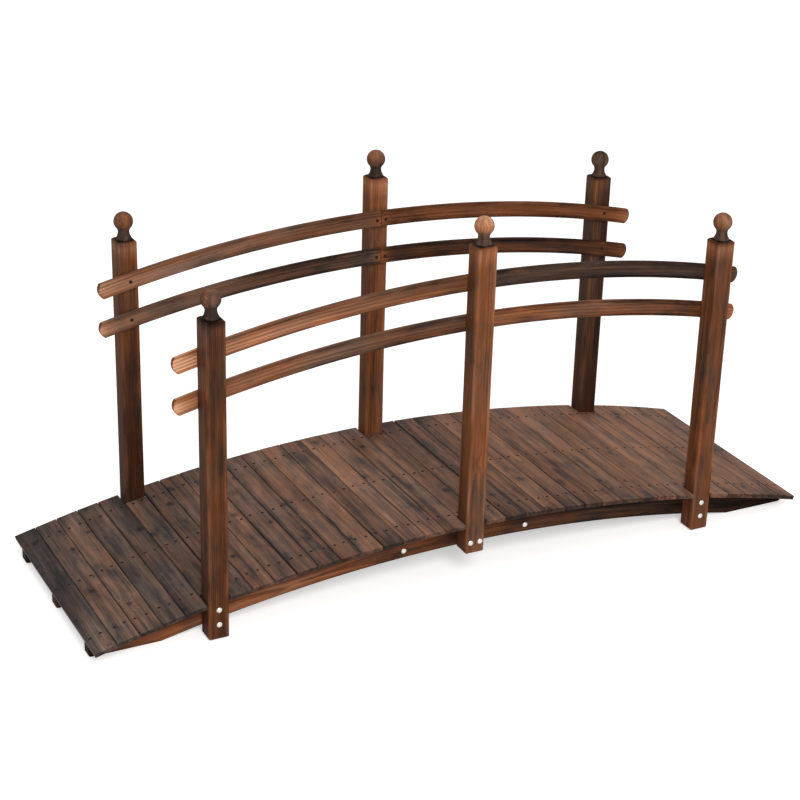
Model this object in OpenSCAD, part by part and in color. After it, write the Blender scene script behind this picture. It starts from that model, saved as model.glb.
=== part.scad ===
// Low arched garden footbridge in timber.
// X runs along the bridge, Y across it and Z up; the ground is Z = 0 and the
// origin is on the ground under the middle of the deck. Sizes are in millimetres.

/* [Deck] */
// Length of the deck along the arched tops of the stringers
deck_len = 2125; // [1960:5:2300]
// Width of the deck, which is the length of a full deck board
deck_w = 670; // [560:5:800]
// Deck boards on each side of the middle board
side_boards = 17; // [16:1:18]
// Deck boards beyond the end posts, at each end
end_boards = 5; // [4:1:7]
// Gap between neighbouring deck boards
board_gap = 1.6; // [0.8:0.1:4]
// Thickness of the deck boards
board_t = 12; // [9:0.5:18]
// Size of the chamfer along the upper edges of a deck board
board_ease = 1.5; // [0.5:0.1:3]
// Radius of the arched tops of the stringers, on which the boards lie
bed_r = 4146; // [3700:10:4800]

/* [Stringers] */
// Thickness of a stringer across the bridge
stringer_t = 30; // [22:1:40]
// Depth of a stringer at the crown of the arch
stringer_d = 75; // [62:1:87]
// Height of the blunt nose at the end of a stringer
nose_h = 30; // [22:1:38]
// Length of the flat toe that rests on the ground
toe_len = 190; // [140:5:240]
// Length of the plate that joins two stringer halves
splice_len = 460; // [420:5:540]
// Thickness of the joining plate
splice_t = 20; // [14:1:28]
// Height by which the joining plate stays inside the stringer's edges
splice_inset = 10; // [6:0.5:14]

/* [Posts] */
// Width of a square post
post_w = 54; // [44:1:58]
// Length of a post
post_len = 854; // [780:2:960]
// Distance from the deck's edge to the outer face of a post
post_reveal = 4; // [1:0.5:12]
// Height of an end post's foot above the ground
foot_lift = 4; // [1:0.5:10]
// Distance that a middle post reaches below the arch of the stringer
foot_drop = 2; // [0.5:0.5:8]
// Size of the chamfer around the top of a post
post_chamfer = 4; // [1:0.5:6]

/* [Finials] */
// Diameter of the ball
ball_d = 51; // [46:1:56]
// Height of the ball's centre above the post
ball_lift = 48; // [44:1:56]
// Diameter of the finial's base
base_d = 41; // [38:1:45]
// Diameter of the neck at its thinnest
neck_d = 30; // [24:1:34]
// Radius of the hollow curve of the neck
cove_r = 30; // [26:1:36]
// Height of the thinnest part of the neck above the post
cove_lift = 21; // [18:1:25]

/* [Rails] */
// Height of a rail
rail_h = 44; // [36:1:52]
// Thickness of a rail
rail_t = 16; // [14:1:24]
// Radius of the rails' centre lines
rail_r = 3420; // [3000:10:4400]
// Distance from the top of a middle post down to the upper rail's centre line
rail_drop = 111; // [80:1:150]
// Distance between the centre lines of the two rails
rail_pitch = 108; // [80:1:140]
// Length of a rail past the outer edge of its end post
rail_reach = 60; // [40:1:90]
// Radius of a rail's nose beyond half of the rail's height
nose_ease = 8; // [3:0.5:14]

/* [Fits] */
// Gap between two faces that bear on each other
seat_gap = 0.2; // [0.1:0.05:0.5]
// Gap between the two halves of a stringer or a rail
butt_gap = 0.8; // [0.4:0.1:2]
// Gap between the end of a short board and its post
board_clear = 0.8; // [0.4:0.1:2]

/* [Hidden] */
$fn = 720;
ROUND_FN = 96;

// The ends of the bridge and its sides, as signs of X and Y
LEFT = -1;
RIGHT = 1;
FRONT = -1;
BACK = 1;

// Colours of the stained wood
DECK_COLOUR = "#5d4539";
STRINGER_COLOUR = "#6b4426";
POST_COLOUR = "#7a5134";
FINIAL_COLOUR = "#7d573c";
RAIL_COLOUR = "#84583a";

// Boards lie side by side along the bed's arc
pitch = (deck_len + board_gap) / (2 * side_boards + 1);
board_w = pitch - board_gap;
pitch_deg = pitch / bed_r * 180 / PI;
end_deg = deck_len / 2 / bed_r * 180 / PI;
post_place = side_boards - end_boards;

// The stringers' tops end at the deck's ends, at the height of the nose
tip_x = bed_r * sin(end_deg);
bed_crown = nose_h + bed_r * (1 - cos(end_deg));
bed_centre = bed_crown - bed_r;
arch_rise = bed_crown - stringer_d;
arch_half = tip_x - toe_len;
arch_r = (arch_half * arch_half + arch_rise * arch_rise) / (2 * arch_rise);

// Posts stand against the outer faces of the outer stringers
post_x = (bed_r + board_t / 2) * sin(post_place * pitch_deg);
post_in = deck_w / 2 - post_reveal - post_w;
stringer_y = post_in - seat_gap - stringer_t / 2;
mid_foot = arch_rise - foot_drop;

// Rails hang on the inner faces of the posts
upper_z = mid_foot + post_len - rail_drop;
lower_z = upper_z - rail_pitch;
rail_y = post_in - seat_gap - rail_t / 2;
rail_tip = post_x + post_w / 2 + rail_reach;
nose_r = rail_h / 2 + nose_ease;

// An outline in X and Z, given a thickness across the bridge about y
module across(y, thickness) {
    translate([0, y + thickness / 2, 0])
        rotate([90, 0, 0])
            linear_extrude(height = thickness)
                children();
}

// What is drawn for the right end, turned over for the left one
module at_end(end) {
    mirror([end < 0 ? 1 : 0, 0, 0])
        children();
}

// Section of a board, with its two upper edges eased
module board_section() {
    half = board_w / 2;
    polygon([
        [-half, 0], [half, 0],
        [half, board_t - board_ease], [half - board_ease, board_t],
        [board_ease - half, board_t], [-half, board_t - board_ease]
    ]);
}

// One board, counted from the middle of the deck
module board(place, length) {
    translate([0, 0, bed_centre])
        rotate([0, place * pitch_deg, 0])
            translate([0, 0, bed_r + seat_gap])
                across(0, length)
                    board_section();
}

module deck_boards(first, last) {
    color(DECK_COLOUR)
        for (place = [first : last])
            board(place, deck_w);
}

// The short board that ends at the two posts of one station
module post_board(place) {
    color(DECK_COLOUR)
        board(place, 2 * (post_in - board_clear));
}

// Outline of a stringer's right half: an arched top, a flat toe and an arch below
module stringer_outline(inset, from_x, to_x) {
    difference() {
        intersection() {
            translate([0, bed_centre])
                circle(r = bed_r - inset);
            translate([from_x, 0])
                square([to_x - from_x, 2 * bed_crown]);
        }
        translate([0, arch_rise - arch_r])
            circle(r = arch_r + inset);
    }
}

module stringer(y, end) {
    color(STRINGER_COLOUR)
        at_end(end)
            across(y, stringer_t)
                stringer_outline(0, butt_gap / 2, tip_x);
}

// The plate behind the joint between two stringer halves, on one of their faces
module splice(y, face) {
    color(STRINGER_COLOUR)
        across(y + face * (stringer_t / 2 + seat_gap + splice_t / 2), splice_t)
            stringer_outline(splice_inset, -splice_len / 2, splice_len / 2);
}

function foot_z(station) = station == 0 ? mid_foot : foot_lift;

// A square post with a chamfer around its top
module post(station, side) {
    color(POST_COLOUR)
        translate([station * post_x, side * (post_in + post_w / 2), foot_z(station)])
            difference() {
                translate([-post_w / 2, -post_w / 2, 0])
                    cube([post_w, post_w, post_len]);
                for (turn = [0 : 90 : 270])
                    rotate([0, 0, turn])
                        translate([post_w / 2, 0, post_len])
                            rotate([0, 45, 0])
                                cube([post_chamfer * sqrt(2), 2 * post_w, post_chamfer * sqrt(2)],
                                     center = true);
            }
}

// Half of a finial's section: a hollow neck that widens to a base, under a ball
module finial_section() {
    intersection() {
        square([ball_d, ball_lift + ball_d]);
        union() {
            translate([0, ball_lift])
                circle(d = ball_d, $fn = ROUND_FN);
            difference() {
                square([base_d / 2, ball_lift - ball_d / 5]);
                translate([neck_d / 2 + cove_r, cove_lift])
                    circle(r = cove_r, $fn = ROUND_FN);
            }
        }
    }
}

module finial(station, side) {
    color(FINIAL_COLOUR)
        translate([station * post_x, side * (post_in + post_w / 2), foot_z(station) + post_len + seat_gap])
            rotate_extrude($fn = ROUND_FN)
                finial_section();
}

// Outline of a rail's right half: a strip of even height along an arc, with a round nose
module rail_outline(crown_z) {
    tip_deg = asin(rail_tip / rail_r);
    difference() {
        intersection() {
            translate([0, crown_z - rail_r])
                difference() {
                    circle(r = rail_r + rail_h / 2);
                    circle(r = rail_r - rail_h / 2);
                }
            translate([butt_gap / 2, 0])
                square([rail_tip + nose_r, crown_z + rail_h]);
        }
        translate([0, crown_z - rail_r])
            rotate(-tip_deg)
                translate([-nose_r, rail_r])
                    difference() {
                        translate([0, -rail_h])
                            square([3 * nose_r, 2 * rail_h]);
                        circle(r = nose_r, $fn = ROUND_FN);
                    }
    }
}

module rail(crown_z, side, end) {
    color(RAIL_COLOUR)
        at_end(end)
            across(side * rail_y, rail_t)
                rail_outline(crown_z);
}

deck_boards(-side_boards, -post_place - 1);  // deck_boards_left_end
post_board(-post_place);  // post_board_left
deck_boards(1 - post_place, -1);  // deck_boards_left_bay
post_board(0);  // post_board_mid
deck_boards(1, post_place - 1);  // deck_boards_right_bay
post_board(post_place);  // post_board_right
deck_boards(post_place + 1, side_boards);  // deck_boards_right_end

stringer(FRONT * stringer_y, LEFT);  // stringer_front_left
stringer(FRONT * stringer_y, RIGHT);  // stringer_front_right
stringer(0, LEFT);  // stringer_mid_left
stringer(0, RIGHT);  // stringer_mid_right
stringer(BACK * stringer_y, LEFT);  // stringer_back_left
stringer(BACK * stringer_y, RIGHT);  // stringer_back_right

splice(FRONT * stringer_y, BACK);  // splice_front
splice(0, BACK);  // splice_mid
splice(BACK * stringer_y, FRONT);  // splice_back

post(LEFT, FRONT);  // post_front_left
post(0, FRONT);  // post_front_mid
post(RIGHT, FRONT);  // post_front_right
post(LEFT, BACK);  // post_back_left
post(0, BACK);  // post_back_mid
post(RIGHT, BACK);  // post_back_right

finial(LEFT, FRONT);  // finial_front_left
finial(0, FRONT);  // finial_front_mid
finial(RIGHT, FRONT);  // finial_front_right
finial(LEFT, BACK);  // finial_back_left
finial(0, BACK);  // finial_back_mid
finial(RIGHT, BACK);  // finial_back_right

rail(upper_z, FRONT, LEFT);  // rail_upper_front_left
rail(upper_z, FRONT, RIGHT);  // rail_upper_front_right
rail(lower_z, FRONT, LEFT);  // rail_lower_front_left
rail(lower_z, FRONT, RIGHT);  // rail_lower_front_right
rail(upper_z, BACK, LEFT);  // rail_upper_back_left
rail(upper_z, BACK, RIGHT);  // rail_upper_back_right
rail(lower_z, BACK, LEFT);  // rail_lower_back_left
rail(lower_z, BACK, RIGHT);  // rail_lower_back_right
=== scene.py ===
"""Low arched garden footbridge: the looks of its scorched and stained timber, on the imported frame."""
import math
import random
from collections import namedtuple

import bpy
from mathutils import Matrix, Vector


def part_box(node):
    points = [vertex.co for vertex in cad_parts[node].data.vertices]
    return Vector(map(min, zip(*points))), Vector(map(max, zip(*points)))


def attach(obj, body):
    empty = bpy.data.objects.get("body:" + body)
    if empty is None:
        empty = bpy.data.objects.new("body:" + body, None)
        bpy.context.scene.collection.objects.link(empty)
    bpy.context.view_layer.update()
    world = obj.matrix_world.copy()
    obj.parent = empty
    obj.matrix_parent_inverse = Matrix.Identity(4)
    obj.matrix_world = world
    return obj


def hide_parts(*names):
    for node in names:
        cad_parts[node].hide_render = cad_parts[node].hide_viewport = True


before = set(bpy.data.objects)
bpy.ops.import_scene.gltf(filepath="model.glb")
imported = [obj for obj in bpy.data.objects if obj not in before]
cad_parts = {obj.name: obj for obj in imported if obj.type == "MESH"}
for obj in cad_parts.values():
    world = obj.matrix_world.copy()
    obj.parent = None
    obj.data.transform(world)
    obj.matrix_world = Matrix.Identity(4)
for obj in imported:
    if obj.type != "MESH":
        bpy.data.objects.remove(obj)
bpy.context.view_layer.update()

# Places read from the frame, in metres
TIP_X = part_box("stringer_mid_right")[1].x
BED_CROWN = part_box("stringer_mid_right")[1].z
DECK_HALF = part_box("deck_boards_right_bay")[1].y
SHORT_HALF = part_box("post_board_mid")[1].y
MID_BOARD_LOW, MID_BOARD_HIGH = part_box("post_board_mid")
STRINGER_LOW, STRINGER_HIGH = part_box("stringer_back_right")
POST_LOW, POST_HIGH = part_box("post_back_right")
RAIL_LOW, RAIL_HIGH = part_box("rail_upper_back_right")
LOWER_RAIL_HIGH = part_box("rail_lower_back_right")[1]

# Sizes are in metres. An ease is the radius of a round edge, a wear the width of the strip worn beside it,
# an edge shade the width of the strip of painted shade beside a deck board's edge, a drift how far a side
# wanders, and a trim how far a board keeps back from a gap.

# Sizes of the deck
BED_R = 4.146
DECK_LEN = 2.125
SIDE_BOARDS = 17
END_BOARDS = 5
BOARDS = 2 * SIDE_BOARDS + 1
BOARD_W = MID_BOARD_HIGH.x - MID_BOARD_LOW.x
BOARD_T = MID_BOARD_HIGH.z - MID_BOARD_LOW.z
BOARD_GAP = (DECK_LEN - BOARDS * BOARD_W) / (BOARDS - 1)
PITCH = BOARD_W + BOARD_GAP
SEAT_GAP = 0.0002
POST_PLACE = SIDE_BOARDS - END_BOARDS
BOARD_EASE = 0.0015
BOARD_EDGE_SHADE = 0.003
BOARD_END_EASE = 0.0008
BOARD_END_PLAY = 0.0012
BOARD_DRIFT = 0.0004
WIDE_GAP_TRIM = 0.0007
NARROW_GAP_TRIM = -0.0004
DECK_END_TRIM = 0.0001

# Sizes of the bearers
STRINGER_D = 0.075
STRINGER_NOSE_R = 0.008
TOE_LEN = 0.190
BUTT_GAP = 0.0008
SPLICE_INSET = 0.010
BEARER_EASE = 0.0020
BEARER_END_EASE = 0.0012
TIMBER_DRIFT = 0.0003
STRINGER_T = STRINGER_HIGH.y - STRINGER_LOW.y
STRINGER_Y = (STRINGER_HIGH.y + STRINGER_LOW.y) / 2
ARCH_RISE = BED_CROWN - STRINGER_D
ARCH_HALF = TIP_X - TOE_LEN
ARCH_R = (ARCH_HALF ** 2 + ARCH_RISE ** 2) / (2 * ARCH_RISE)

# Sizes of the posts, finials and rails
POST_W = POST_HIGH.x - POST_LOW.x
POST_X = (POST_HIGH.x + POST_LOW.x) / 2
POST_Y = (POST_HIGH.y + POST_LOW.y) / 2
POST_CHAMFER = 0.004
POST_EASE = 0.0036
POST_WEAR = 0.007
POST_FOOT_EASE = 0.0015
POST_TOP_ROUND = 0.0006
BALL_R = 0.0255
BALL_LIFT = 0.048
BASE_R = 0.0205
NECK_R = 0.015
COVE_R = 0.030
COVE_LIFT = 0.021
COVE_OVER = 0.002
FOOT_EDGE = 0.001
RAIL_R = 3.420
RAIL_H = 0.044
RAIL_T = RAIL_HIGH.y - RAIL_LOW.y
RAIL_Y = (RAIL_HIGH.y + RAIL_LOW.y) / 2
RAIL_NOSE_BLUNT = 0.008
RAIL_NOSE_R = RAIL_H / 2 + RAIL_NOSE_BLUNT
RAIL_NOSE_EDGE = 0.004
RAIL_NOSE_LEN = 0.03
RAIL_EASE = 0.0042
RAIL_WEAR = 0.009
RAIL_END_EASE = 0.0008
RAIL_PAST_POST = 0.060
RAIL_TIP = POST_X + POST_W / 2 + RAIL_PAST_POST
UPPER_Z = RAIL_HIGH.z - RAIL_H / 2
LOWER_Z = LOWER_RAIL_HIGH.z - RAIL_H / 2

# Sizes and places of the fasteners
BOLT_HEAD_R = 0.0074
BOLT_HEAD_H = 0.0036
BOLT_RIM_H = 0.0009
BOLT_R = 0.004
BOLT_PAST_NUT = 0.004
BOLT_EDGE = 0.0008
WASHER_R = 0.011
WASHER_T = 0.0016
WASHER_EDGE = 0.0003
NUT_R = 0.0075
NUT_H = 0.0065
NUT_EDGE = 0.0009
NUT_SIDES = 6
END_POST_BOLTS = (0.0447, 0.0865)
MID_POST_BOLT_X = 0.014
MID_POST_BOLT_Z = 0.1195
SPLICE_BOLT_X = 0.184
SPLICE_BOLT_Z = 0.107
NAIL_R = 0.0042
NAIL_APART = 0.029
NAIL_PLAY_ALONG = 0.003
NAIL_PLAY_ACROSS = 0.004
SCREW_R = 0.0046
SCREW_H = 0.0014
SCREW_RECESS = 0.0009
SCREW_FROM_JOINT = 0.013
SCREW_PLAY = 0.003

# Ends, sides and stations by name
ENDS = {"left": -1, "right": 1}
SIDES = {"front": -1, "back": 1}
STATIONS = {"left": -1, "mid": 0, "right": 1}

# A tone tells how far a timber was burnt before staining: 0 is charred, 1 is light; on the finials' balls
# and the posts' sides it also holds painted light and shade. A redness tells how much of it took the red
# stain.
# Boards that differ from the rest are counted from the left end.
CHARRED_BOARDS = {1}
DARK_BOARDS = {4, 5, 7, 10, 20, 23, 24}
LIGHT_BOARDS = {13, 15, 16, 22, 26, 29, 30, 31, 33}
NEAR_END_BURNT = {10, 12, 13, 17, 24, 25, 26, 33, 35}
NEAR_TIP_CHARRED = {34, 35}
WIDE_GAPS_AFTER = {6, 9, 19}
BOARD_TONE = 0.48
BOARD_TONE_RISE = 0.06
BOARD_TONE_SWING = 0.05
CHARRED_DARKER = 0.20
DARK_DARKER = 0.10
LIGHT_LIGHTER = 0.08
NEAR_END_SLOPE = 0.07
BOARD_REDNESS = 0.38
BOARD_REDNESS_RISE = 0.64
BOARD_REDNESS_SWING = 0.16
CHARRED_LESS_RED = 0.30
# How much darker a board's ends may be, and the near ends of a few boards are; below 0 is lighter
END_SCORCHES = (0.0, 0.0, 0.06, 0.14)
NEAR_TIP_SCORCH = 0.25
CHARRED_TIP_SCORCH = -0.14
# Each post: tones at the foot and the top, redness, how much lighter the worn band under the top is,
# depth of the scorched rim, and how much lighter the right side is than the middle, which is partly
# painted light and shade on the post's faces
PostLook = namedtuple("PostLook", "foot top redness band rim lean")
POST_LOOKS = {
    "front_left": PostLook(0.29, 0.30, 0.82, 0.06, 0.014, 0.00),
    "front_mid": PostLook(0.47, 0.45, 0.88, 0.15, 0.002, 0.07),
    "front_right": PostLook(0.45, 0.39, 0.94, 0.22, 0.008, 0.00),
    "back_left": PostLook(0.14, 0.33, 0.82, 0.22, 0.002, -0.02),
    "back_mid": PostLook(0.50, 0.51, 0.98, 0.22, 0.002, 0.07),
    "back_right": PostLook(0.19, 0.30, 0.54, 0.10, 0.004, -0.07),
}
BAND_BELOW_TOP = 0.020
BAND_REACH = 0.018
RIM_SCORCH = 0.25
# Each finial: tones of the neck and the ball, redness of the ball and how much lighter its crown is; the
# crown paints the light falling on the top of the ball
FinialLook = namedtuple("FinialLook", "neck ball redness crown")
FINIAL_LOOKS = {
    "front_left": FinialLook(0.17, 0.37, 0.25, 0.14),
    "front_mid": FinialLook(0.42, 0.82, 0.90, 0.16),
    "front_right": FinialLook(0.33, 0.53, 0.55, 0.16),
    "back_left": FinialLook(0.20, 0.40, 0.50, 0.06),
    "back_mid": FinialLook(0.26, 0.42, 0.60, 0.28),
    "back_right": FinialLook(0.34, 0.39, 0.05, -0.08),
}
# How the neck's tone fades into the ball's up to the ball's middle, which paints shade on the ball's lower
# half
NECK_FADE = 0.8
# Each rail half: tones beside the middle post and near the tip, redness, how much lighter the tip is
RailLook = namedtuple("RailLook", "mid out redness tip")
RAIL_LOOKS = {
    "upper_front_left": RailLook(0.38, 0.97, 0.62, 0.24),
    "upper_front_right": RailLook(0.29, 0.28, 0.14, 0.10),
    "lower_front_left": RailLook(0.47, 0.67, 0.38, 0.40),
    "lower_front_right": RailLook(0.64, 0.50, 0.78, 0.36),
    "upper_back_left": RailLook(0.38, 0.80, 0.46, 0.12),
    "upper_back_right": RailLook(0.43, 0.39, 1.05, 0.26),
    "lower_back_left": RailLook(0.34, 0.53, 0.12, 0.36),
    "lower_back_right": RailLook(0.21, 0.32, 0.70, 0.18),
}
# Where two rail halves meet over the middle post they are less burnt: tone, added redness and reach
JOINT_TONE = 0.52
JOINT_REDNESS = 0.60
JOINT_REACH = 0.030
# A rail's tip is lighter and redder, and the edge of its nose is scorched: how far along the rail
TIP_REACH = 0.040
TIP_REDNESS = 1.8
TIP_RED_REACH = 0.160
NOSE_EDGE_SCORCHED = 0.011
# Each stringer half: tones beside the joint, half way out and at the tip
STRINGER_TONES = {
    "front_left": (0.26, 0.64, 0.46), "front_right": (0.37, 0.17, 0.08),
    "mid_left": (0.42, 0.45, 0.60), "mid_right": (0.42, 0.40, 0.38),
    "back_left": (0.42, 0.45, 0.40), "back_right": (0.46, 0.48, 0.44),
}
SPLICE_TONE = 0.42
STRINGER_NOSE_SCORCH = 0.30
STRINGER_SCORCH_REACH = 0.045

# Stain colours from charred to light, for the grey and the red parts of the wood
DECK_GREY = [(0.0, "1b1715"), (0.25, "3b3230"), (0.5, "635349"), (0.75, "87726a"), (1.0, "ab9484")]
DECK_RED = [(0.0, "1f140f"), (0.25, "472f23"), (0.5, "77523e"), (0.75, "9b6b4e"), (1.0, "c3936c")]
TIMBER_GREY = [(0.0, "15110f"), (0.25, "392d27"), (0.5, "604a3d"), (0.75, "866a5b"), (1.0, "b4967f")]
TIMBER_RED = [(0.0, "180d08"), (0.25, "472919"), (0.5, "77472c"), (0.75, "9e6748"), (1.0, "cb9a78")]

# The photograph's viewpoint: place, heading, tilt and roll of the camera
EYE = Vector((-2.2754, -4.2529, 2.5329))
EYE_YAW = 0.4796
EYE_PITCH = -0.4175
EYE_ROLL = 0.0282
FOCAL_PIXELS = 1937.1
IMAGE_PIXELS = 800
SENSOR_MM = 36

# Light: the key lamp, the even surrounding, and what the floor adds to look white
KEY_PLACE = Vector((-1.3, -5.5, 4.4))
KEY_AIM = Vector((0, 0, 0.4))
KEY_SIZE = 3.2
KEY_WATTS = 300
SURROUNDING = 0.62
FLOOR_SIZE = 60
FLOOR_GLOW = 0.48

# Steps of the meshes; those near an end are millimetres from it, and there are MM in a metre
CORNER_STEPS = 3
ROUND_STEPS = 48
COVE_STEPS = 12
BALL_STEPS = 24
BOLT_STEPS = 28
DOME_STEPS = 8
NAIL_STEPS = 12
SCREW_STEPS = 32
BOARD_STEPS = 26
BEARER_STEPS = 40
SPLICE_STEPS = 24
POST_STEPS = 30
RAIL_STEPS = 36
BEARER_TIP_STEPS = (70, 55, 42, 30, 18, 8, 6.4, 5, 3.7, 2.6, 1.7, 0.8, 0.4, 0.15)
BEARER_TOE_STEPS = (-4, 0, 4)
POST_TOP_STEPS = (22, 16, 11, 7)
RAIL_TIP_STEPS = (22, 17, 13, 10, 7.5, 5.2, 3.4, 2.0, 1.0, 0.4, 0.1)
RAIL_JOINT_STEPS = (6, 12, 18, 24, 30, 37, 50)
SCREW_RINGS = (1.0, 0.94, 0.84, 0.72, 0.60, 0.48, 0.36, 0.24, 0.12)
SHARP_ANGLE = math.radians(38)
MM = 1000
UP = Vector((0, 0, 1))

# First numbers of the random draws
BOARD_SEED = 1000
STRINGER_SEED = 2000
SPLICE_SEED = 2100
POST_SEED = 3000
FINIAL_SEED = 4000
RAIL_SEED = 5000
NAIL_SEED = 6000
SCREW_SEED = 7000
# A full turn, as near as random waves need it
FULL_TURN = 6.28

# Patches of each noise per metre, along and across the grain
SLOW_BEND = (1.6, 7.0, 7.0)
QUICK_BEND = (9.0, 70.0, 70.0)
KNOT_RAGGED = (90.0, 140.0, 140.0)
RING_PATCHES = (2.5, 22.0, 22.0)
WIDE_STREAKS = (1.1, 26.0, 26.0)
FINE_STREAKS = (3.4, 105.0, 105.0)
FIBRES = (14.0, 620.0, 620.0)
BURNT_PATCHES = (7.0, 17.0, 17.0)
MOTTLE = (10.0, 38.0, 38.0)
# Patches along the edges: worn ones, and on the deck the painted shade in the gaps
WORN_AND_SHADED_EDGES = (9.0, 34.0, 34.0)
RED_PATCHES = (5.0, 20.0, 20.0)
STEEL_CLOUDS = (160.0, 160.0, 160.0)
STEEL_SPOTS = (420.0, 420.0, 420.0)

# One cross section of a bar: its middle, two directions, half sizes, place along the grain, tone, whether
# its v sides are scorched as an end is, how much lighter its u side is, which on a post is partly painted
# light and shade, and how much redder it is
Station = namedtuple(
    "Station", "centre u v half_u half_v along tone nose lean redder", defaults=[0.0, 0.0, 0.0],
)


def set_camera():
    """Looks at the bridge from where the photograph was taken."""
    forward = Vector((
        math.sin(EYE_YAW) * math.cos(EYE_PITCH),
        math.cos(EYE_YAW) * math.cos(EYE_PITCH),
        math.sin(EYE_PITCH),
    ))
    level = Vector((math.cos(EYE_YAW), -math.sin(EYE_YAW), 0))
    upright = level.cross(forward)
    right = level * math.cos(EYE_ROLL) + upright * math.sin(EYE_ROLL)
    up = upright * math.cos(EYE_ROLL) - level * math.sin(EYE_ROLL)
    data = bpy.data.cameras.new("eye")
    data.sensor_width = SENSOR_MM
    data.lens = SENSOR_MM * FOCAL_PIXELS / IMAGE_PIXELS
    camera = bpy.data.objects.new("eye", data)
    turn = Matrix((right, up, -forward)).transposed()
    camera.matrix_world = Matrix.Translation(EYE) @ turn.to_4x4()
    bpy.context.scene.collection.objects.link(camera)
    bpy.context.scene.camera = camera


def linear(text):
    """A colour written as six hex digits, as linear red, green, blue and alpha."""
    values = [int(text[i:i + 2], 16) / 255 for i in (0, 2, 4)]
    return [v / 12.92 if v <= 0.04045 else ((v + 0.055) / 1.055) ** 2.4 for v in values] + [1.0]


class Graph:
    """Adds shader nodes to one material, where an input is a socket or a plain value."""

    def __init__(self, name):
        self.material = bpy.data.materials.new(name)
        self.material.use_nodes = True
        self.tree = self.material.node_tree
        self.shader = self.tree.nodes["Principled BSDF"]

    def put(self, socket, value):
        """Feeds a socket from another one, or sets its plain value."""
        if isinstance(value, bpy.types.NodeSocket):
            self.tree.links.new(value, socket)
        else:
            socket.default_value = value

    def node(self, kind, **inputs):
        node = self.tree.nodes.new("ShaderNode" + kind)
        for name, value in inputs.items():
            self.put(node.inputs[name.replace("_", " ")], value)
        return node

    def attribute(self, name, output):
        node = self.tree.nodes.new("ShaderNodeAttribute")
        node.attribute_name = name
        return node.outputs[output]

    def math(self, operation, a, b=0.0, c=0.0, clamp=False):
        node = self.tree.nodes.new("ShaderNodeMath")
        node.operation = operation
        node.use_clamp = clamp
        for socket, value in zip(node.inputs, (a, b, c)):
            self.put(socket, value)
        return node.outputs[0]

    def vector(self, operation, a, b=(0.0, 0.0, 0.0)):
        node = self.tree.nodes.new("ShaderNodeVectorMath")
        node.operation = operation
        self.put(node.inputs[0], a)
        self.put(node.inputs[1], b)
        return node.outputs[1] if operation == "LENGTH" else node.outputs[0]

    def noise(self, vector, stretch, detail=2.0, roughness=0.5, output="Fac"):
        """Noise whose patches measure about one over stretch, in metres along each axis."""
        scaled = self.vector("MULTIPLY", vector, stretch)
        node = self.node("TexNoise", Vector=scaled, Scale=1.0, Detail=detail, Roughness=roughness)
        return node.outputs[output]

    def about_zero(self, value, size):
        """A noise value shifted to swing about zero, by about size."""
        return self.math("MULTIPLY", self.math("SUBTRACT", value, 0.5), size)

    def wander(self, vector, stretch, size):
        """A sideways push that changes slowly along the grain."""
        colour = self.noise(vector, stretch, output="Color")
        swing = self.vector("SUBTRACT", colour, (0.5, 0.5, 0.5))
        return self.vector("MULTIPLY", swing, (0.0, size, size))

    def remap(self, value, low, high, to_low=0.0, to_high=1.0):
        """A smooth step from to_low, where the value is low, to to_high, where it is high."""
        node = self.tree.nodes.new("ShaderNodeMapRange")
        node.interpolation_type = "SMOOTHSTEP"
        for socket, item in zip(node.inputs, (value, low, high, to_low, to_high)):
            self.put(socket, item)
        return node.outputs[0]

    def ramp(self, value, stops):
        """The colour at a value, from stops of places and hex colours."""
        node = self.tree.nodes.new("ShaderNodeValToRGB")
        self.put(node.inputs[0], value)
        elements = node.color_ramp.elements
        while len(elements) < len(stops):
            elements.new(0.5)
        for element, (place, colour) in zip(elements, stops):
            element.position = place
            element.color = linear(colour)
        return node.outputs[0]

    def mix(self, factor, a, b):
        node = self.tree.nodes.new("ShaderNodeMix")
        node.data_type = "RGBA"
        for index, value in ((0, factor), (6, a), (7, b)):
            self.put(node.inputs[index], value)
        return node.outputs[2]


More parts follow.
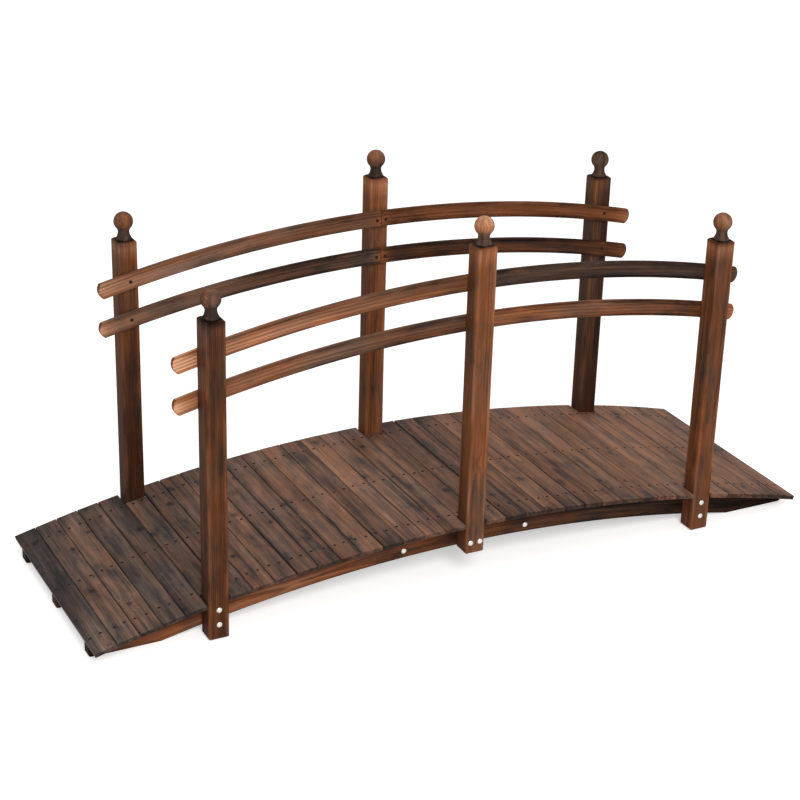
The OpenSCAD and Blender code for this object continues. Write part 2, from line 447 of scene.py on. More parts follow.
def wood(name, grey, red, knots=0.0, cells=(4.5, 15.0, 15.0), ring=0.12, ring_gap=0.0042,
         streak=0.6, blotch=0.14, mottle=0.10, patchy=2.2,
         edge_shift=0.10, cap_shift=-0.35, specular=0.03):
    """Scorched and stained softwood: rings about a pith, streaks, knots, burnt patches, and edges made
    lighter or darker; the darker edges of the deck boards are painted shade in the gaps between them.

    The mesh carries the wood's own frame in the attribute grain, whose X runs along the fibres.
    Ring, streak, blotch, mottle, edge_shift and cap_shift change the tone, patchy the redness.
    """
    g = Graph(name)
    grain = g.attribute("grain", "Vector")
    tone = g.attribute("tone", "Fac")
    warmth = g.attribute("warm", "Fac")
    edge = g.attribute("edge", "Fac")
    cap = g.attribute("cap", "Fac")

    # Rings about a pith that wanders
    bent = g.vector("ADD", grain, g.wander(grain, SLOW_BEND, 0.022))
    bent = g.vector("ADD", bent, g.wander(grain, QUICK_BEND, 0.0026))
    radius = g.vector("LENGTH", g.vector("MULTIPLY", bent, (0.0, 1.0, 1.0)))

    # Knots: some cells of a stretched pattern hold one, and the rings bend around it
    cell = g.node("TexVoronoi", Vector=g.vector("MULTIPLY", grain, cells), Scale=1.0, Randomness=0.8)
    middle = g.vector("DIVIDE", cell.outputs["Position"], cells)
    off = g.vector("MULTIPLY", g.vector("SUBTRACT", grain, middle), (0.80, 1.0, 1.0))
    apart = g.vector("LENGTH", off)
    ragged = g.about_zero(g.noise(grain, KNOT_RAGGED), 0.010)
    apart = g.math("ADD", apart, ragged)
    picked = g.node("SeparateColor", Color=cell.outputs["Color"]).outputs[0]
    has_knot = g.math("LESS_THAN", picked, knots)
    size = g.math("MULTIPLY_ADD", picked, 0.012, 0.009)
    knot = g.math("MULTIPLY", has_knot, g.remap(apart, size, g.math("MULTIPLY", size, 0.15)))
    swirl = g.math("MULTIPLY", has_knot, g.remap(apart, 0.034, 0.0))
    radius = g.math("MULTIPLY_ADD", swirl, 0.010, radius)

    # Late wood is the dark last part of each ring, and shows in some places only, least on charred wood
    turns = g.math("FRACT", g.math("DIVIDE", radius, ring_gap))
    late = g.math("MULTIPLY", g.remap(turns, 0.15, 0.85), g.remap(turns, 1.0, 0.90))
    shows = g.remap(g.noise(grain, RING_PATCHES), 0.33, 0.60)
    shows = g.math("MULTIPLY", shows, g.math("MULTIPLY", tone, 2.0))

    # Streaks and fibres along the grain, and patches that burnt deeper
    wide = g.noise(grain, WIDE_STREAKS, 3.0, 0.55)
    fine = g.noise(grain, FINE_STREAKS, 3.0, 0.55)
    fibre = g.noise(grain, FIBRES, 3.0, 0.6)
    deep = g.remap(g.noise(grain, BURNT_PATCHES, 4.0, 0.6), 0.50, 0.74)

    # The tone that picks the colour: besides the burn it carries the painted light and shade brought in
    # with the tone, and the deck's painted shade at its edges
    burn_and_painted_light = g.math("ADD", tone, g.about_zero(wide, streak))
    burn_and_painted_light = g.math("ADD", burn_and_painted_light, g.about_zero(fine, 0.8 * streak))
    burn_and_painted_light = g.math("ADD", burn_and_painted_light, g.about_zero(fibre, 0.26))
    burn_and_painted_light = g.math("MULTIPLY_ADD", g.math("MULTIPLY", late, shows), -ring, burn_and_painted_light)
    burn_and_painted_light = g.math("MULTIPLY_ADD", deep, -blotch, burn_and_painted_light)
    soft = g.noise(grain, MOTTLE, 3.0, 0.6)
    burn_and_painted_light = g.math("ADD", burn_and_painted_light, g.about_zero(soft, 2.0 * mottle))
    burn_and_painted_light = g.math("MULTIPLY_ADD", knot, -0.28, burn_and_painted_light)
    burn_and_painted_light = g.math("MULTIPLY_ADD", swirl, -0.06, burn_and_painted_light)
    # Patches along the edges: worn lighter where edge_shift is above 0, as on the posts, and darker where
    # it is below 0; on the deck boards that darkening is painted shade in the gaps between them
    edge_wear_and_shade = g.math("MULTIPLY", edge, g.remap(g.noise(grain, WORN_AND_SHADED_EDGES, 3.0), 0.3, 0.6))
    burn_and_painted_light = g.math("MULTIPLY_ADD", edge_wear_and_shade, edge_shift, burn_and_painted_light)
    burn_and_painted_light = g.math("MULTIPLY_ADD", cap, cap_shift, burn_and_painted_light, clamp=True)

    # Red where the flame only warmed the wood, grey where it charred
    redness = g.math("ADD", warmth, g.about_zero(g.noise(grain, RED_PATCHES, 3.0), patchy))
    redness = g.math("MULTIPLY_ADD", deep, -0.45, redness)
    redness = g.math("MULTIPLY_ADD", knot, -0.5, redness, clamp=True)
    g.put(g.shader.inputs["Base Color"], g.mix(redness, g.ramp(burn_and_painted_light, grey), g.ramp(burn_and_painted_light, red)))
    rough = g.math("ADD", g.math("MULTIPLY_ADD", late, -0.06, 0.60), g.about_zero(fibre, 0.25))
    g.put(g.shader.inputs["Roughness"], rough)
    g.shader.inputs["Specular IOR Level"].default_value = specular

    # Late wood and fibres stand up a little, and knots lie low
    relief = g.math("MULTIPLY_ADD", late, 0.5, g.math("MULTIPLY", fibre, 0.8))
    relief = g.math("MULTIPLY_ADD", knot, -0.6, relief)
    bump = g.node("Bump", Height=relief, Strength=0.55, Distance=0.0009)
    g.put(g.shader.inputs["Normal"], bump.outputs[0])
    return g.material


def metal(name, colour, stain, roughness, metallic, specular=0.5):
    """Plated or dulled steel with uneven polish and a little staining."""
    g = Graph(name)
    place = g.node("TexCoord").outputs["Object"]
    cloud = g.noise(place, STEEL_CLOUDS, 4.0, 0.6)
    spots = g.remap(g.noise(place, STEEL_SPOTS, 3.0), 0.55, 0.75)
    g.put(g.shader.inputs["Base Color"], g.mix(spots, linear(colour), linear(stain)))
    g.put(g.shader.inputs["Roughness"], g.remap(cloud, 0.3, 0.7, roughness, roughness + 0.2))
    g.shader.inputs["Metallic"].default_value = metallic
    g.shader.inputs["Specular IOR Level"].default_value = specular
    bump = g.node("Bump", Height=cloud, Strength=0.2, Distance=0.0003)
    g.put(g.shader.inputs["Normal"], bump.outputs[0])
    return g.material


def section(half_u, half_v, ease, wear):
    """A rectangle with round corners, as points (u, v, closeness to a corner, lies on a v side)."""
    ease = min(ease, 0.9 * half_u, 0.9 * half_v)
    points = []
    for quarter in range(4):
        sign_u = 1 if quarter in (0, 3) else -1
        sign_v = 1 if quarter in (0, 1) else -1
        centre = (sign_u * (half_u - ease), sign_v * (half_v - ease))
        for step in range(CORNER_STEPS + 1):
            angle = (quarter + step / CORNER_STEPS) * math.pi / 2
            on_v = abs(math.sin(angle)) > 0.6
            u = centre[0] + ease * math.cos(angle)
            v = centre[1] + ease * math.sin(angle)
            points.append((u, v, 1.0, on_v))
        # Along the side that follows: two points beside its corners and one in the middle
        on_v = quarter in (0, 2)
        reach = (half_u if on_v else half_v) - ease
        inset = min(wear, 0.6 * reach)
        for place in (reach - inset, 0.0, inset - reach):
            if on_v:
                points.append((sign_u * place, sign_v * half_v, 0.0, True))
            else:
                points.append((sign_u * half_u, sign_v * place, 0.0, False))
    return points


class Solid:
    """Gathers the rings of points and the faces of one mesh, and what each point tells the wood."""

    def __init__(self):
        self.points, self.faces = [], []
        self.traits = {"grain": [], "tone": [], "warm": [], "edge": [], "cap": []}

    def ring(self, points, **traits):
        """Adds points and their traits, and tells the number of the first."""
        first = len(self.points)
        self.points += points
        for name, values in traits.items():
            self.traits[name] += values
        return first

    def join(self, first, second, count):
        """Faces between two rings of as many points."""
        for i in range(count):
            j = (i + 1) % count
            self.faces.append((first + i, first + j, second + j, second + i))

    def bar(self, stations, shift, warm, ease, wear=0.004):
        """A straight or bent bar of wood through its stations, closed at both ends."""
        rings = []
        for station in stations:
            outline = section(station.half_u, station.half_v, ease, wear)
            rings.append(dict(
                points=[station.centre + station.u * a + station.v * b for a, b, _, _ in outline],
                grain=[Vector((station.along, a, b)) + shift for a, b, _, _ in outline],
                tone=[station.tone + station.lean * a / station.half_u for a, _, _, _ in outline],
                warm=[warm + station.redder] * len(outline),
                edge=[near for _, _, near, _ in outline],
                cap=[station.nose if on_v else 0.0 for _, _, _, on_v in outline],
            ))
        count = len(rings[0]["points"])
        starts = [self.ring(**ring) for ring in rings]
        for first, second in zip(starts, starts[1:]):
            self.join(first, second, count)
        low, high = (self.ring(**{**ring, "cap": [1.0] * count}) for ring in (rings[0], rings[-1]))
        self.faces.append(tuple(reversed(range(low, low + count))))
        self.faces.append(tuple(range(high, high + count)))

    def lathe(self, foot, axis, profile, steps, shift=None, tone=None, warm=None):
        """A turned piece: profile is (radius, height) from its foot up to a point on the axis."""
        side = axis.orthogonal().normalized()
        other = axis.cross(side)
        starts = []
        for radius, height in profile:
            count = steps if radius > 0 else 1
            turns = [2 * math.pi * i / steps for i in range(count)]
            spots = [(radius * math.cos(turn), radius * math.sin(turn)) for turn in turns]
            points = [foot + side * a + other * b + axis * height for a, b in spots]
            traits = {}
            if shift is not None:
                traits = dict(
                    grain=[Vector((height, a, b)) + shift for a, b in spots],
                    tone=[tone(height)] * count, warm=[warm(height)] * count,
                    edge=[0.0] * count, cap=[0.0] * count,
                )
            starts.append(self.ring(points, **traits))
        for first, second in zip(starts[:-2], starts[1:-1]):
            self.join(first, second, steps)
        self.faces.append(tuple(reversed(range(starts[0], starts[0] + steps))))
        for i in range(steps):
            self.faces.append((starts[-2] + i, starts[-2] + (i + 1) % steps, starts[-1]))

    def build(self, name, material, slot, *nodes):
        """Makes the piece, which rides on the one body and stands for the nodes named."""
        mesh = bpy.data.meshes.new(name)
        mesh.from_pydata(self.points, [], self.faces)
        for trait, values in self.traits.items():
            if not values:
                continue
            if trait == "grain":
                flat = [part for value in values for part in value]
                mesh.attributes.new(trait, "FLOAT_VECTOR", "POINT").data.foreach_set("vector", flat)
            else:
                mesh.attributes.new(trait, "FLOAT", "POINT").data.foreach_set("value", values)
        mesh.shade_smooth()
        mesh.set_sharp_from_angle(angle=SHARP_ANGLE)
        mesh.materials.append(material)
        piece = bpy.data.objects.new(name, mesh)
        bpy.context.scene.collection.objects.link(piece)
        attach(piece, "root")
        if nodes:
            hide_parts(*nodes)


def wave(draw, size, shortest):
    """A smooth random function of a length, about as large as size."""
    parts = []
    for _ in range(4):
        height = size * draw.uniform(0.3, 0.7)
        pace = 1 / draw.uniform(shortest, 6 * shortest)
        parts.append((height, pace, draw.uniform(0, FULL_TURN)))
    return lambda s: sum(a * math.sin(FULL_TURN * f * s + p) for a, f, p in parts)


def pith(draw, near, far, low_angle=0.0, high_angle=2 * math.pi):
    """Where a timber's own centre lies from the middle of its tree, and a place along it."""
    angle = draw.uniform(low_angle, high_angle)
    reach = draw.uniform(near, far)
    return Vector((draw.uniform(-40, 40), reach * math.cos(angle), reach * math.sin(angle)))


def between(values, share):
    """The value at a share of the way through evenly spaced values."""
    place = share * (len(values) - 1)
    index = min(int(place), len(values) - 2)
    return values[index] + (values[index + 1] - values[index]) * (place - index)


def spread(low, high, count, ease):
    """Places from low to high, with one close to each end for its eased edge."""
    inner = [low + (high - low) * i / count for i in range(1, count)]
    return [low, low + ease] + inner + [high - ease, high]


def board_frame(place):
    """A board's direction along the bridge, its normal and the point under its middle."""
    angle = place * PITCH / BED_R
    tangent = Vector((math.cos(angle), 0, -math.sin(angle)))
    normal = Vector((math.sin(angle), 0, math.cos(angle)))
    return tangent, normal, Vector((0, 0, BED_CROWN - BED_R)) + normal * (BED_R + SEAT_GAP)


def board_tone(number, draw):
    """Boards differ; those on the right half are lighter on the whole."""
    tone = BOARD_TONE + BOARD_TONE_RISE * number / BOARDS
    tone += draw.uniform(-BOARD_TONE_SWING, BOARD_TONE_SWING)
    if number in CHARRED_BOARDS:
        tone -= CHARRED_DARKER
    if number in DARK_BOARDS:
        tone -= DARK_DARKER
    if number in LIGHT_BOARDS:
        tone += LIGHT_LIGHTER
    return tone


def board_trim(gap, draw):
    """How far a board keeps back from a gap; most gaps are narrower than even."""
    if gap in WIDE_GAPS_AFTER:
        return WIDE_GAP_TRIM
    trim = draw.uniform(NARROW_GAP_TRIM, 0.0)
    return trim if 0 < gap < BOARDS else DECK_END_TRIM


def add_board(solid, place, half_length):
    """One deck board, counted from the middle, lying on the stringers' arc."""
    number = place + SIDE_BOARDS + 1
    draw = random.Random(BOARD_SEED + number)
    tangent, normal, bed = board_frame(place)
    before, after = (board_trim(gap, draw) for gap in (number - 1, number))
    half_w = (BOARD_W - before - after) / 2
    shift_u = (before - after) / 2
    tone = board_tone(number, draw)
    near_scorch, far_scorch = (draw.choice(END_SCORCHES) for _ in range(2))
    reach = draw.uniform(0.03, 0.10)
    if number in NEAR_TIP_CHARRED:
        near_scorch = NEAR_TIP_SCORCH
    if number in CHARRED_BOARDS:
        near_scorch = CHARRED_TIP_SCORCH
    slope = NEAR_END_SLOPE if number in NEAR_END_BURNT else 0.0
    warm = BOARD_REDNESS + BOARD_REDNESS_RISE * number / BOARDS
    warm += draw.uniform(-BOARD_REDNESS_SWING, BOARD_REDNESS_SWING)
    if number in CHARRED_BOARDS:
        warm -= CHARRED_LESS_RED
    drift = wave(draw, BOARD_DRIFT, 0.2)
    shift = pith(draw, 0.015, 0.110)
    low = draw.uniform(0.0, BOARD_END_PLAY) - half_length
    high = half_length - draw.uniform(0.0, BOARD_END_PLAY)
    stations = []
    ys = spread(low, high, BOARD_STEPS, BOARD_END_EASE)
    for index, y in enumerate(ys):
        trim = BOARD_END_EASE if index in (0, len(ys) - 1) else 0.0
        centre = bed + normal * (BOARD_T / 2) + tangent * (shift_u + drift(y) / 2)
        burnt = near_scorch * math.exp((low - y) / reach) + far_scorch * math.exp((y - high) / reach)
        stations.append(Station(
            centre + Vector((0, y, 0)), -tangent, normal,
            half_w - trim - abs(drift(y)) / 2, BOARD_T / 2 - trim,
            y, tone - burnt + slope * y / DECK_HALF,
        ))
    solid.bar(stations, shift, warm, BOARD_EASE, BOARD_EDGE_SHADE)


def make_deck(material):
    """The boards, in the frame's seven groups."""
    groups = {
        "deck_boards_left_end": range(-SIDE_BOARDS, -POST_PLACE),
        "deck_boards_left_bay": range(1 - POST_PLACE, 0),
        "deck_boards_right_bay": range(1, POST_PLACE),
        "deck_boards_right_end": range(POST_PLACE + 1, SIDE_BOARDS + 1),
        "post_board_left": [-POST_PLACE],
        "post_board_mid": [0],
        "post_board_right": [POST_PLACE],
    }
    for node, places in groups.items():
        solid = Solid()
        half = SHORT_HALF if node.startswith("post_board") else DECK_HALF
        for place in places:
            add_board(solid, place, half)
        solid.build("timber_" + node, material, "deck_wood", node)


def bed_height(x):
    """The height of the stringers' tops."""
    return BED_CROWN - BED_R + math.sqrt(BED_R ** 2 - x ** 2)


def arch_height(x):
    """The height of the stringers' undersides, which end in flat toes."""
    return max(0.0, ARCH_RISE - ARCH_R + math.sqrt(ARCH_R ** 2 - x ** 2))


def add_bearer(solid, y, thickness, xs, inset, tone_at, draw):
    """An arched timber on edge, from the first place along the bridge to the last.

    Where it reaches the bridge's end, the lower corner of its nose is round.
    """
    shift = pith(draw, 0.02, 0.12)
    warm = draw.uniform(0.6, 0.9)
    swell = wave(draw, TIMBER_DRIFT, 0.3)
    stations = []
    for index, x in enumerate(xs):
        trim = BEARER_END_EASE if index in (0, len(xs) - 1) else 0.0
        top = bed_height(x) - inset
        bottom = arch_height(x) + inset
        on_nose = min(STRINGER_NOSE_R, max(0.0, STRINGER_NOSE_R - (TIP_X - abs(x))))
        bottom += STRINGER_NOSE_R - math.sqrt(STRINGER_NOSE_R ** 2 - on_nose ** 2)
        half_t = thickness / 2 - trim - abs(swell(x))
        centre = Vector((x, y, (top + bottom) / 2))
        half_h = (top - bottom) / 2 - trim
        stations.append(Station(centre, Vector((0, -1, 0)), UP, half_t, half_h, x, tone_at(x)))
    solid.bar(stations, shift, warm, BEARER_EASE)


def stringer_tone(tones):
    """The tone at a place along a stringer half, whose nose is scorched."""
    def tone(x):
        left = TIP_X - abs(x)
        scorch = STRINGER_NOSE_SCORCH * math.exp(-(left / STRINGER_SCORCH_REACH) ** 2)
        return between(tones, abs(x) / TIP_X) - scorch
    return tone


def make_bearers(material):
    """Three stringers, each in two halves, and the plates behind their joints."""
    lines = {"front": -STRINGER_Y, "mid": 0.0, "back": STRINGER_Y}
    toe = [ARCH_HALF + step / MM for step in BEARER_TOE_STEPS]
    nose = [TIP_X - step / MM for step in BEARER_TIP_STEPS]
    out = sorted(spread(BUTT_GAP / 2, TIP_X, BEARER_STEPS, BEARER_END_EASE) + toe + nose)
    for index, (line, y) in enumerate(lines.items()):
        for end, sign in ENDS.items():
            name = line + "_" + end
            tones = STRINGER_TONES[name]
            places = out if sign > 0 else [-x for x in reversed(out)]
            solid = Solid()
            draw = random.Random(STRINGER_SEED + 10 * index + sign)
            add_bearer(solid, y, STRINGER_T, places, 0.0, stringer_tone(tones), draw)
            solid.build("timber_stringer_" + name, material, "bearer_wood", "stringer_" + name)
    for index, line in enumerate(lines):
        low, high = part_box("splice_" + line)
        solid = Solid()
        places = spread(low.x, high.x, SPLICE_STEPS, BEARER_END_EASE)
        draw = random.Random(SPLICE_SEED + index)
        y = (low.y + high.y) / 2
        add_bearer(solid, y, high.y - low.y, places, SPLICE_INSET, lambda x: SPLICE_TONE, draw)
        solid.build("timber_splice_" + line, material, "bearer_wood", "splice_" + line)


def post_tone(look, low, high, z):
    """Posts have a lighter worn band just under a scorched top."""
    tone = between((look.foot, look.top), (z - low) / (high - low))
    below = high - z
    tone += look.band * math.exp(-((below - BAND_BELOW_TOP) / BAND_REACH) ** 2)
    return tone - RIM_SCORCH * math.exp(-(below / look.rim) ** 2)


def make_posts(material):
    """Six square posts with eased edges and a chamfered top."""
    for side, sign_y in SIDES.items():
        for station, sign_x in STATIONS.items():
            name = side + "_" + station
            look = POST_LOOKS[name]
            low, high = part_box("post_" + name)
            draw = random.Random(POST_SEED + 10 * sign_y + sign_x)
            drift = wave(draw, TIMBER_DRIFT, 0.3)
            heights = [low.z + (high.z - low.z) * i / POST_STEPS for i in range(1, POST_STEPS)]
            under_top = [high.z - step / MM for step in POST_TOP_STEPS]
            places = [(low.z, POST_FOOT_EASE), (low.z + POST_FOOT_EASE, 0.0)]
            places += [(z, 0.0) for z in heights + under_top]
            places += [
                (high.z - POST_CHAMFER, 0.0),
                (high.z - POST_TOP_ROUND, POST_CHAMFER - POST_TOP_ROUND),
                (high.z, POST_CHAMFER + POST_TOP_ROUND),
            ]
            stations = []
            for z, trim in places:
                half = POST_W / 2 - trim - abs(drift(z))
                centre = Vector((sign_x * POST_X, sign_y * POST_Y, z))
                tone = post_tone(look, low.z, high.z, z)
                # The tone leans across the post, lighter on one side and darker on the other, partly
                # painted light and shade on its faces
                stations.append(Station(
                    centre, Vector((1, 0, 0)), Vector((0, 1, 0)), half, half, z, tone, lean=look.lean,
                ))
            solid = Solid()
            solid.bar(stations, pith(draw, 0.01, 0.07), look.redness, POST_EASE, POST_WEAR)
            solid.build("timber_post_" + name, material, "post_wood", "post_" + name)


def finial_profile():
    """Radius and height from the base, through the hollow neck, over the ball."""
    profile = [(BASE_R - FOOT_EDGE, 0.0), (BASE_R, FOOT_EDGE)]
    start = COVE_LIFT - math.sqrt(COVE_R ** 2 - (COVE_R + NECK_R - BASE_R) ** 2)
    profile.append((BASE_R, start - 0.0006))
    for i in range(COVE_STEPS + 1):
        height = start + (COVE_LIFT + COVE_OVER - start) * i / COVE_STEPS
        profile.append((NECK_R + COVE_R - math.sqrt(COVE_R ** 2 - (height - COVE_LIFT) ** 2), height))
    first = math.pi - math.asin(NECK_R / BALL_R)
    for i in range(1, BALL_STEPS):
        angle = first * (1 - i / BALL_STEPS)
        profile.append((BALL_R * math.sin(angle), BALL_LIFT + BALL_R * math.cos(angle)))
    return profile + [(0.0, BALL_LIFT + BALL_R)]


def above_neck(neck, ball, crown=0.0):
    """A function of the height: the neck's value, the ball's at its middle and crown more at its top.

    As a tone, the fade from the neck paints shade on the ball's lower half, and the crown paints light on
    its top.
    """
    def value(height):
        rise = min(1.0, max(0.0, (height - COVE_LIFT) / (BALL_LIFT - COVE_LIFT)))
        over = max(0.0, (height - BALL_LIFT) / BALL_R)
        return neck + (ball - neck) * rise ** NECK_FADE + crown * over
    return value


def make_finials(material):
    """A turned ball on a darker hollow neck on top of each post."""
    profile = finial_profile()
    for side, sign_y in SIDES.items():
        for station, sign_x in STATIONS.items():
            name = side + "_" + station
            draw = random.Random(FINIAL_SEED + 10 * sign_y + sign_x)
            foot = Vector((sign_x * POST_X, sign_y * POST_Y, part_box("finial_" + name)[0].z))
            look = FINIAL_LOOKS[name]
            shift = pith(draw, 0.01, 0.05)
            # The neck is darker, and the ball's tone paints shade on its lower half and light on its crown
            tone = above_neck(look.neck, look.ball, look.crown)
            warm = above_neck(0.0, look.redness)
            solid = Solid()
            solid.lathe(foot, UP, profile, ROUND_STEPS, shift, tone, warm)
            solid.build("timber_finial_" + name, material, "finial_wood", "finial_" + name)


def rail_stations(crown, y, sign, look, draw):
    """Stations along a rail's arc, from the middle post out to the round nose."""
    tip = RAIL_R * math.asin(RAIL_TIP / RAIL_R)
    start = BUTT_GAP / 2
    drift = wave(draw, TIMBER_DRIFT, 0.25)
    body = [start + (tip - RAIL_NOSE_LEN - start) * i / RAIL_STEPS for i in range(1, RAIL_STEPS + 1)]
    nose = [tip - step / MM for step in RAIL_TIP_STEPS]
    joint = [start + step / MM for step in RAIL_JOINT_STEPS]
    places = [(start, RAIL_END_EASE), (start + RAIL_END_EASE, 0.0)]
    places += [(s, 0.0) for s in sorted(joint + body + nose)]
    stations = []
    for s, trim in places:
        left = tip - s
        half_h = RAIL_H / 2
        if left < RAIL_NOSE_R:
            half_h = min(half_h, math.sqrt(max(0.0, RAIL_NOSE_R ** 2 - (RAIL_NOSE_R - left) ** 2)))
        half_t = RAIL_T / 2 - abs(drift(s))
        if left < RAIL_NOSE_EDGE:
            half_t -= RAIL_NOSE_EDGE * 0.6 * (1 - math.sqrt(1 - (1 - left / RAIL_NOSE_EDGE) ** 2))
        angle = s / RAIL_R
        out = Vector((sign * math.sin(angle), 0, math.cos(angle)))
        centre = Vector((0, y, crown - RAIL_R)) + out * RAIL_R
        scorched = 1.0 if left < NOSE_EDGE_SCORCHED else 0.0
        tone = between((look.mid, look.out), s / tip) + look.tip * math.exp(-left / TIP_REACH)
        joined = math.exp(-(s / JOINT_REACH) ** 2)
        redder = JOINT_REDNESS * joined + TIP_REDNESS * look.tip * math.exp(-left / TIP_RED_REACH)
        stations.append(Station(
            centre, Vector((0, -sign, 0)), out, half_t - trim, half_h - trim, s,
            tone + (JOINT_TONE - tone) * joined, scorched, redder=redder,
        ))
    return stations


def make_rails(material):
    """Two curved rails on each side, each in two halves that meet at the middle post."""
    levels = {"upper": UPPER_Z, "lower": LOWER_Z}
    for index, (level, crown) in enumerate(levels.items()):
        for side, sign_y in SIDES.items():
            for end, sign_x in ENDS.items():
                name = "_".join((level, side, end))
                draw = random.Random(RAIL_SEED + 100 * index + 10 * sign_y + sign_x)
                solid = Solid()
                look = RAIL_LOOKS[name]
                stations = rail_stations(crown, sign_y * RAIL_Y, sign_x, look, draw)
                # The tree's middle lies beyond a flat side, so the rings run along the rail as lines
                shift = pith(draw, 0.05, 0.12, 1.2, 1.9)
                solid.bar(stations, shift, look.redness, RAIL_EASE, RAIL_WEAR)
                solid.build("timber_rail_" + name, material, "rail_wood", "rail_" + name)


def disc(radius, low, high, edge, edge_h):
    """The profile of a flat disc with a bevelled upper edge."""
    return [(radius, low), (radius, high - edge_h), (radius - edge, high), (0.0, high)]


def add_bolt(solid, x, z, head_y, nut_y):
    """A round-headed bolt across the bridge, with a washer and a nut at its other end."""
    axis = Vector((0, math.copysign(1, head_y - nut_y), 0))
    dome = [(BOLT_HEAD_R * 0.96, 0.0), (BOLT_HEAD_R, 0.0004), (BOLT_HEAD_R, BOLT_RIM_H)]
    for i in range(1, DOME_STEPS):
        angle = i / DOME_STEPS * math.pi / 2
        height = BOLT_RIM_H + (BOLT_HEAD_H - BOLT_RIM_H) * math.sin(angle)
        dome.append((BOLT_HEAD_R * math.cos(angle), height))
    solid.lathe(Vector((x, head_y, z)), axis, dome + [(0.0, BOLT_HEAD_H)], BOLT_STEPS)
    seat = Vector((x, nut_y, z))
    top = WASHER_T + NUT_H
    end = top + BOLT_PAST_NUT
    solid.lathe(seat, -axis, disc(WASHER_R, 0.0, WASHER_T, WASHER_EDGE, WASHER_EDGE), BOLT_STEPS)
    solid.lathe(seat, -axis, disc(NUT_R, WASHER_T, top, NUT_EDGE, BOLT_EDGE), NUT_SIDES)
    solid.lathe(seat, -axis, disc(BOLT_R, top, end, BOLT_EDGE, BOLT_EDGE), BOLT_STEPS)


def make_bolts(material):
    """Bolts through the posts, the stringers and the plates behind the stringers' joints."""
    for side, sign_y in SIDES.items():
        solid = Solid()
        post_face = sign_y * POST_HIGH.y
        stringer_face = sign_y * STRINGER_HIGH.y
        inner_face = sign_y * STRINGER_LOW.y
        splice_face = sign_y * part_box("splice_back")[0].y
        for sign_x in ENDS.values():
            for z in END_POST_BOLTS:
                add_bolt(solid, sign_x * POST_X, z, post_face, inner_face)
            add_bolt(solid, sign_x * MID_POST_BOLT_X, MID_POST_BOLT_Z, post_face, splice_face)
            add_bolt(solid, sign_x * SPLICE_BOLT_X, SPLICE_BOLT_Z, stringer_face, splice_face)
        solid.build("bolts_" + side, material, "zinc_steel")
    solid = Solid()
    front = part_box("stringer_mid_left")[0].y
    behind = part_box("splice_mid")[1].y
    for sign_x in ENDS.values():
        add_bolt(solid, sign_x * SPLICE_BOLT_X, SPLICE_BOLT_Z, front, behind)
    solid.build("bolts_mid", material, "zinc_steel")


def make_nails(material):
    """Two nails through each board into each of the three stringers."""
    head = [(NAIL_R, -0.0004), (NAIL_R, 0.0001), (NAIL_R * 0.8, 0.0004), (0.0, 0.0005)]
    solid = Solid()
    draw = random.Random(NAIL_SEED)
    for place in range(-SIDE_BOARDS, SIDE_BOARDS + 1):
        tangent, normal, bed = board_frame(place)
        for row in (-STRINGER_Y, 0.0, STRINGER_Y):
            for sign in (-1, 1):
                along = sign * NAIL_APART / 2 + draw.uniform(-NAIL_PLAY_ALONG, NAIL_PLAY_ALONG)
                y = row + draw.uniform(-NAIL_PLAY_ACROSS, NAIL_PLAY_ACROSS)
                spot = bed + normal * BOARD_T + tangent * along + Vector((0, y, 0))
                solid.lathe(spot, normal, head, NAIL_STEPS)
    solid.build("deck_nails", material, "dark_steel")


def add_screw(solid, spot, axis, turn):
    """A low domed screw head with a cross-shaped recess."""
    side = Matrix.Rotation(turn, 3, axis) @ axis.orthogonal().normalized()
    other = axis.cross(side)
    turns = [2 * math.pi * i / SCREW_STEPS for i in range(SCREW_STEPS)]
    foot = [spot + (side * math.cos(a) + other * math.sin(a)) * SCREW_R for a in turns]
    starts = [solid.ring(foot)]
    for share in SCREW_RINGS:
        points = []
        for angle in turns:
            a, b = share * math.cos(angle), share * math.sin(angle)
            sunk = min(abs(a), abs(b)) < 0.15 and share < 0.65
            lift = SCREW_H * (1 - 0.6 * share ** 2) - (SCREW_RECESS if sunk else 0.0)
            points.append(spot + (side * a + other * b) * SCREW_R + axis * lift)
        starts.append(solid.ring(points))
    for first, second in zip(starts, starts[1:]):
        solid.join(first, second, SCREW_STEPS)
    solid.faces.append(tuple(reversed(range(starts[0], starts[0] + SCREW_STEPS))))
    solid.faces.append(tuple(range(starts[-1], starts[-1] + SCREW_STEPS)))


def make_screws(material):
    """Screws through the rails into the posts, from the rails' inner faces."""
    draw = random.Random(SCREW_SEED)
    for side, sign_y in SIDES.items():
        solid = Solid()
        face = sign_y * RAIL_LOW.y
        for crown in (UPPER_Z, LOWER_Z):
            for x in (-POST_X, -SCREW_FROM_JOINT, SCREW_FROM_JOINT, POST_X):
                z = crown - RAIL_R + math.sqrt(RAIL_R ** 2 - x ** 2)
                z += draw.uniform(-SCREW_PLAY, SCREW_PLAY)
                add_screw(solid, Vector((x, face, z)), Vector((0, -sign_y, 0)), draw.uniform(0, 1.5))
        solid.build("rail_screws_" + side, material, "dark_steel")


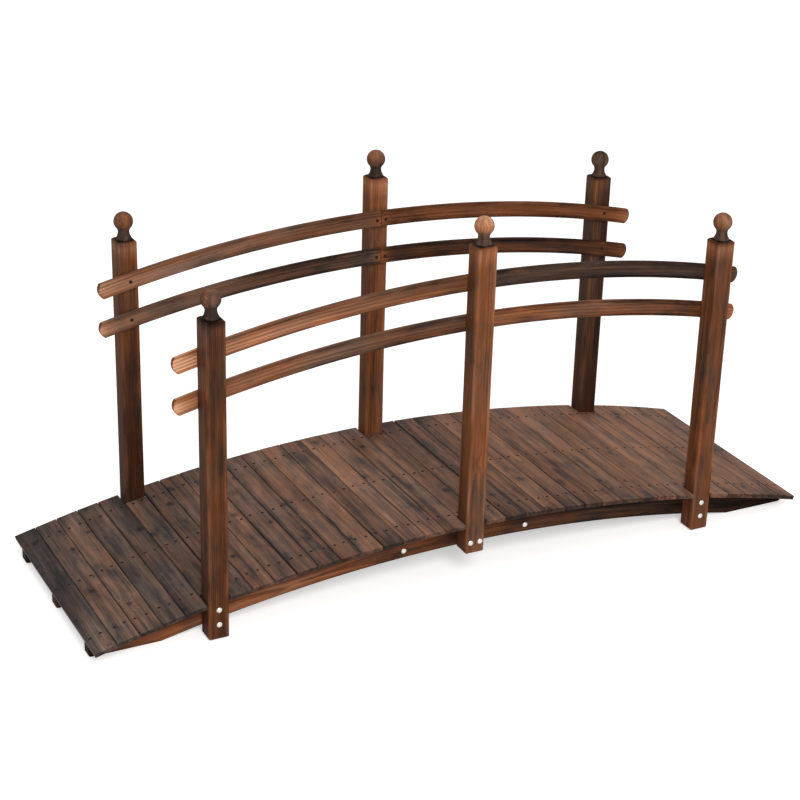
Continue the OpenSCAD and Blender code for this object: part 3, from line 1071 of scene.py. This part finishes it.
def make_stage():
    """A white floor that keeps the bridge's shadow, a soft key light and an even surrounding."""
    bpy.ops.mesh.primitive_plane_add(size=FLOOR_SIZE)
    floor = bpy.context.object
    floor.name = "floor"
    g = Graph("floor_white")
    g.shader.inputs["Base Color"].default_value = linear("f2f1ef")
    g.shader.inputs["Roughness"].default_value = 0.9
    g.shader.inputs["Specular IOR Level"].default_value = 0.0
    g.shader.inputs["Emission Color"].default_value = (1, 1, 1, 1)
    glow = g.math("MULTIPLY", seen_directly(g.tree), FLOOR_GLOW)
    g.put(g.shader.inputs["Emission Strength"], glow)
    floor.data.materials.append(g.material)

    light = bpy.data.lights.new("key", "AREA")
    light.shape = "DISK"
    light.size = KEY_SIZE
    light.energy = KEY_WATTS
    key = bpy.data.objects.new("key", light)
    key.location = KEY_PLACE
    key.rotation_euler = (KEY_AIM - KEY_PLACE).to_track_quat("-Z", "Y").to_euler()
    bpy.context.scene.collection.objects.link(key)

    world = bpy.data.worlds.new("surrounding")
    world.use_nodes = True
    bpy.context.scene.world = world
    tree = world.node_tree
    background = tree.nodes["Background"]
    level = tree.nodes.new("ShaderNodeMapRange")
    level.inputs[3].default_value = SURROUNDING
    level.inputs[4].default_value = 1.0
    tree.links.new(seen_directly(tree), level.inputs[0])
    tree.links.new(level.outputs[0], background.inputs["Strength"])
    background.inputs["Color"].default_value = (1, 1, 1, 1)


def seen_directly(tree):
    """One where something is seen, also mirrored or through glass, and zero where it only lights."""
    path = tree.nodes.new("ShaderNodeLightPath")
    seen = path.outputs["Is Camera Ray"]
    for ray in ("Is Glossy Ray", "Is Transmission Ray"):
        either = tree.nodes.new("ShaderNodeMath")
        either.operation = "MAXIMUM"
        tree.links.new(seen, either.inputs[0])
        tree.links.new(path.outputs[ray], either.inputs[1])
        seen = either.outputs[0]
    return seen


bpy.context.scene.view_settings.view_transform = "Standard"
set_camera()
make_stage()
# The deck's darker board edges, from edge_shift below 0, are painted shade in the gaps between the boards
make_deck(wood(
    "deck_fir", DECK_GREY, DECK_RED, knots=0.6, cells=(5.0, 17.0, 30.0),
    streak=0.64, blotch=0.18, mottle=0.24, patchy=1.8,
    edge_shift=-0.12, cap_shift=-0.15, specular=0.10,
))
make_bearers(wood(
    "bearer_fir", TIMBER_GREY, TIMBER_RED, knots=0.22, ring=0.18, edge_shift=-0.16, cap_shift=-0.60,
))
make_posts(wood(
    "post_fir", TIMBER_GREY, TIMBER_RED, knots=0.12, streak=0.40, blotch=0.09,
    edge_shift=0.15, cap_shift=-0.45,
))
make_finials(wood("finial_fir", TIMBER_GREY, TIMBER_RED, ring_gap=0.0032))
make_rails(wood(
    "rail_fir", TIMBER_GREY, TIMBER_RED, ring=0.13, ring_gap=0.0090, streak=0.44,
    edge_shift=-0.20, cap_shift=-0.45,
))
make_bolts(metal("zinc_plate", "d6d2cc", "a8a49e", 0.28, 0.85))
make_nails(metal("dark_steel", "24130f", "351d16", 0.62, 0.05, 0.12))
make_screws(metal("brown_steel", "2e1a12", "1c120d", 0.60, 0.0, 0.10))
